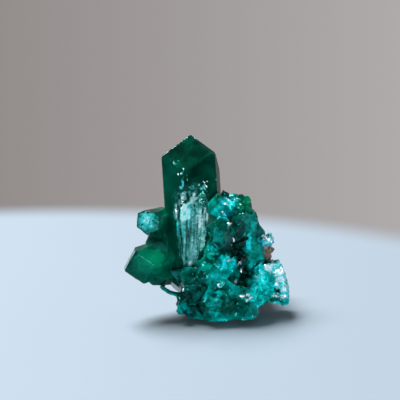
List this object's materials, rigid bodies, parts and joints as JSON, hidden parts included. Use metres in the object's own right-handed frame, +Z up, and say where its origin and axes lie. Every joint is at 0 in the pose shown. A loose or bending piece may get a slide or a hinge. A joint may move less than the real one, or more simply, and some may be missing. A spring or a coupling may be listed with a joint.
{
  "type": "dioptase specimen",
  "caption": "Mineral specimen: a tall emerald green prism with a three-sided tip, shorter crystals beside it and a mass of small teal ones round its foot, on a remnant of brown rock.",
  "frame": {"origin": "under the middle of the specimen's bounding box, on the surface that it stands on", "axes": "+Z up, about along the tall crystal; -Y towards the side that the picture shows; +X to the right of that side, where the turquoise druse is"},
  "size_m": [0.031, 0.0221, 0.0337],
  "materials": {
    "dioptase_green": "gloss",
    "dioptase_teal": "gloss",
    "druse_turquoise": "satin",
    "rock_brown": "matte"
  },
  "bodies": {
    "root": {"main_crystal": "dioptase_green", "left_upper_crystal": "dioptase_green", "left_lower_crystal": "dioptase_green", "turquoise_druse": "druse_turquoise", "crystal_mass": "dioptase_teal", "rim_druse": "druse_turquoise", "back_crystal_left": "dioptase_green", "back_crystal_middle": "dioptase_green", "back_crystal_right": "dioptase_green", "host_rock": "rock_brown"}
  },
  "joints": []
}
